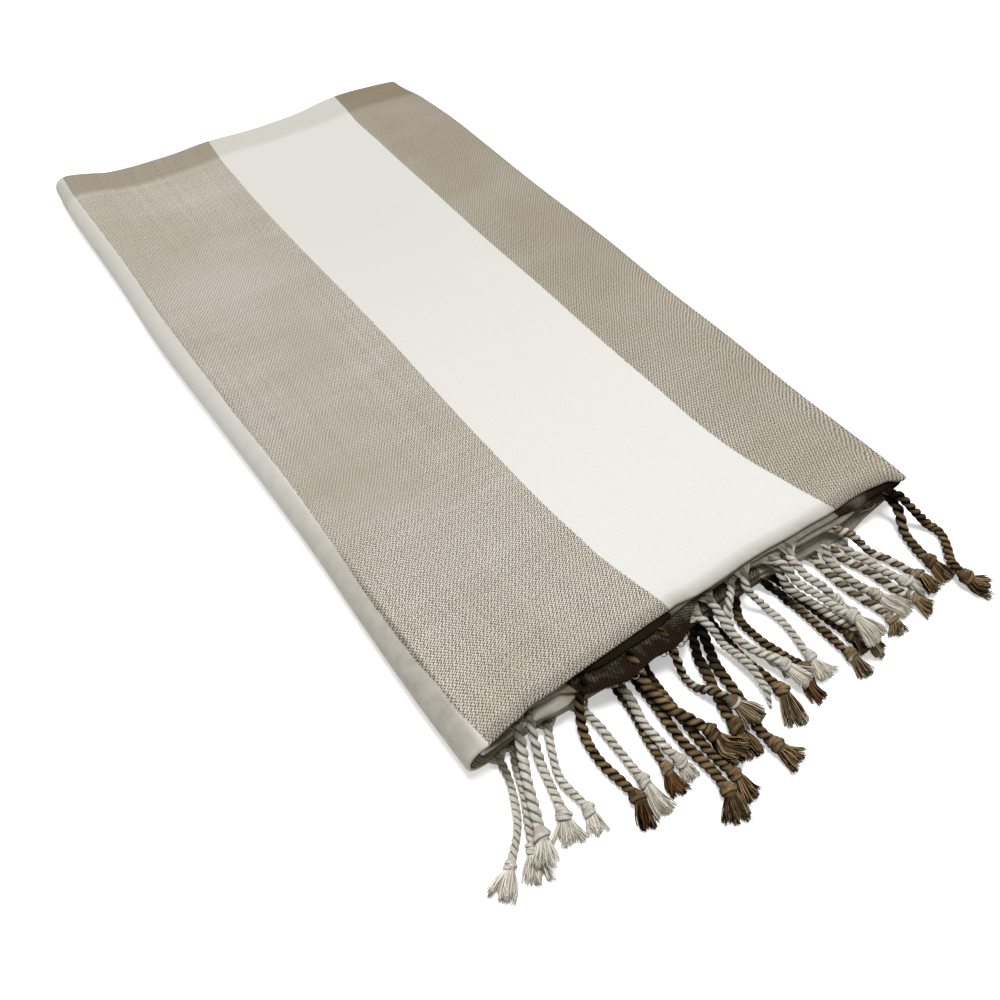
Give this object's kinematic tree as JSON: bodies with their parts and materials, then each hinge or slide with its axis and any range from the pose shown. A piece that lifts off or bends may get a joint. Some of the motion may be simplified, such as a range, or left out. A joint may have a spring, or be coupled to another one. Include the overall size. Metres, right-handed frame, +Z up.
{
  "type": "hammam towel",
  "caption": "Striped flat-woven cotton towel folded to a flat rectangular stack, with twisted and knotted tassels fanning out along one short side.",
  "frame": {"origin": "middle of the whole towel and its tassels as seen from above, on the surface it lies on", "axes": "+Z up, +Y from the tasselled side towards the far folds, +X to the right when seen from the tassels"},
  "size_m": [0.275, 0.5356, 0.019],
  "materials": {
    "towel": "flat woven cotton, broad white and beige stripes",
    "fringe_first": "twisted cotton yarn, brown and white",
    "fringe_second": "twisted cotton yarn, brown and white"
  },
  "bodies": {
    "root": {"towel": "towel", "fringe_first": "fringe_first", "fringe_second": "fringe_second"}
  },
  "joints": []
}
